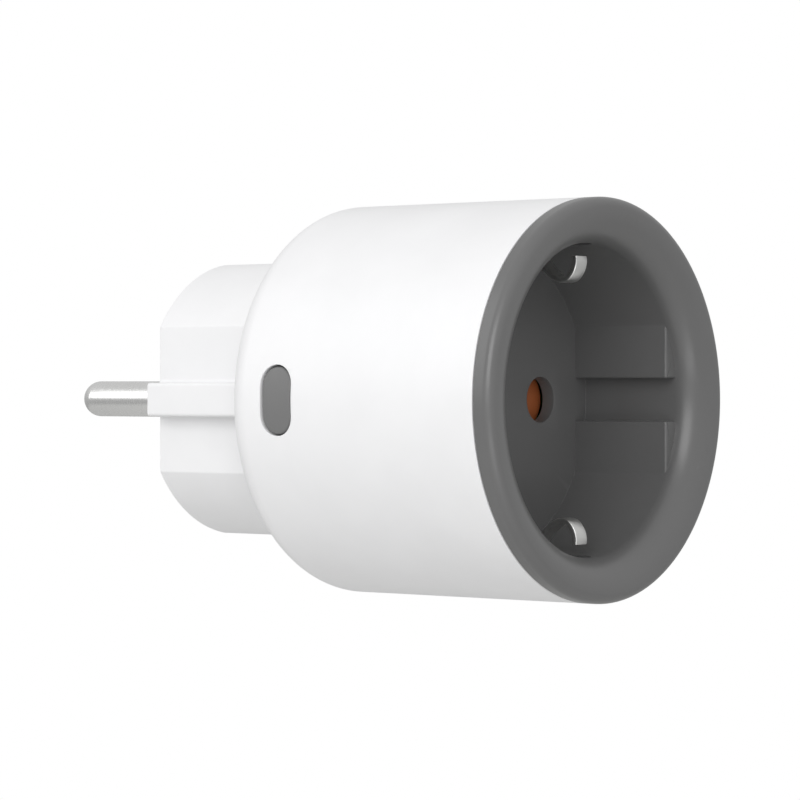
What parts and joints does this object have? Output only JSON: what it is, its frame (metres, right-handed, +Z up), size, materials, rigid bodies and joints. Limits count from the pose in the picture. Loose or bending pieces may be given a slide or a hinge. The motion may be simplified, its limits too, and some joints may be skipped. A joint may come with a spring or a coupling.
{
  "type": "plug-in power meter",
  "caption": "Round plug-in mains adapter that switches and meters its load: a recessed side-earthed socket in front, a plug behind and a push button in its side.",
  "frame": {"origin": "middle of the plug's face, half way between the two pins", "axes": "+Y out of the plug's face along the pins, -Y out of the socket, +Z up, +X to the right of someone who faces the socket; the button is on the -X side"},
  "size_m": [0.0508, 0.0811, 0.0508],
  "materials": {
    "shell_white": "smooth satin moulding",
    "face_grey": "fine satin moulding",
    "button_grey": "satin moulding",
    "shutter_orange": "satin moulding",
    "nickel": "satin nickel plate",
    "brass": "stamped",
    "steel": "zinc plated",
    "board_green": "solder mask",
    "black_plastic": "moulded",
    "blue_epoxy": "dipped epoxy",
    "aluminium_can": "drawn",
    "wire_green": "extruded"
  },
  "bodies": {
    "case": {"housing_shell": "shell_white", "plug_base": "shell_white", "socket_face": "face_grey", "tact_switch": "black_plastic", "button_board": "board_green", "shutter_spring": "steel", "shutter_retainer": "face_grey", "live_pin": "nickel", "neutral_pin": "nickel", "live_pin_link": "brass", "neutral_pin_link": "brass", "live_contact": "brass", "neutral_contact": "brass", "earth_strap_top": "nickel", "earth_strap_bottom": "nickel", "earth_wire": "wire_green", "earth_pin_contact": "nickel", "main_board": "board_green", "power_relay": "black_plastic", "power_capacitor": "aluminium_can", "varistor": "blue_epoxy", "fuse_resistor": "wire_green", "power_inductor": "black_plastic", "power_chip": "black_plastic", "meter_chip": "black_plastic", "current_shunt": "brass", "radio_board": "board_green", "radio_module": "aluminium_can", "base_screw_1": "steel", "base_screw_2": "steel", "base_screw_3": "steel", "board_screw_1": "steel", "board_screw_2": "steel", "board_screw_3": "steel", "retainer_screw_1": "steel", "retainer_screw_2": "steel"},
    "button": {"button_cap": "button_grey", "tact_plunger": "black_plastic"},
    "shutter": {"safety_shutter": "shutter_orange"},
    "clip_top": {"earth_clip_top": "nickel"},
    "clip_bottom": {"earth_clip_bottom": "nickel"}
  },
  "joints": [
    {"name": "button_press", "type": "slide", "parent": "case", "child": "button", "axis": [1, 0, 0], "range_m": [0, 0.0006], "stiffness_N_per_m": 2000, "springref_m": -0.0004},
    {"name": "shutter_turn", "type": "hinge", "parent": "case", "child": "shutter", "pos_m": [0, -0.0407, 0], "axis": [0, 1, 0], "range_deg": [0, 40], "stiffness_Nm_per_rad": 0.005, "springref_deg": -17.19, "deforming": ["shutter_spring"]},
    {"name": "clip_top_flex", "type": "hinge", "parent": "case", "child": "clip_top", "pos_m": [0, -0.044, 0.02185], "axis": [-1, 0, 0], "range_deg": [0, 8], "stiffness_Nm_per_rad": 0.5},
    {"name": "clip_bottom_flex", "type": "hinge", "parent": "case", "child": "clip_bottom", "pos_m": [0, -0.044, -0.02185], "axis": [1, 0, 0], "range_deg": [0, 8], "stiffness_Nm_per_rad": 0.5}
  ]
}
